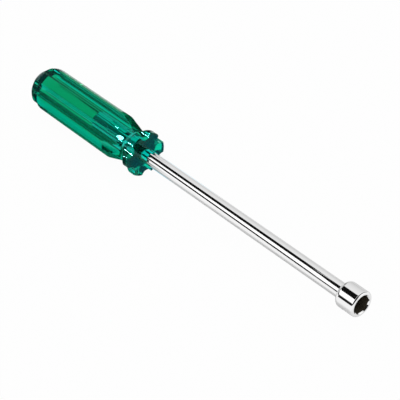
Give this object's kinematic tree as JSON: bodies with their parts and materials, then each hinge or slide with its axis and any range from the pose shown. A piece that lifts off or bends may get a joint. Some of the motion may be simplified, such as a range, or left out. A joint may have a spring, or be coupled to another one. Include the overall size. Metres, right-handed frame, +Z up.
{
  "type": "nut driver",
  "caption": "Nut driver with a clear green fluted handle, a turned neck and collar, a straight hollow chrome shaft and a fixed chrome hexagon socket for nuts and bolt heads.",
  "frame": {"origin": "middle of the socket's mouth", "axes": "+X along the tool, out of the socket's mouth, with the handle towards -X; +Z up when the tool lies on two lobes of the handle"},
  "size_m": [0.2418, 0.0242, 0.023],
  "materials": {
    "handle": "clear green plastic, polished",
    "shaft": "bright chrome plate on steel",
    "socket": "bright chrome plate on steel"
  },
  "bodies": {
    "root": {"handle": "handle", "shaft": "shaft", "socket": "socket"}
  },
  "joints": []
}
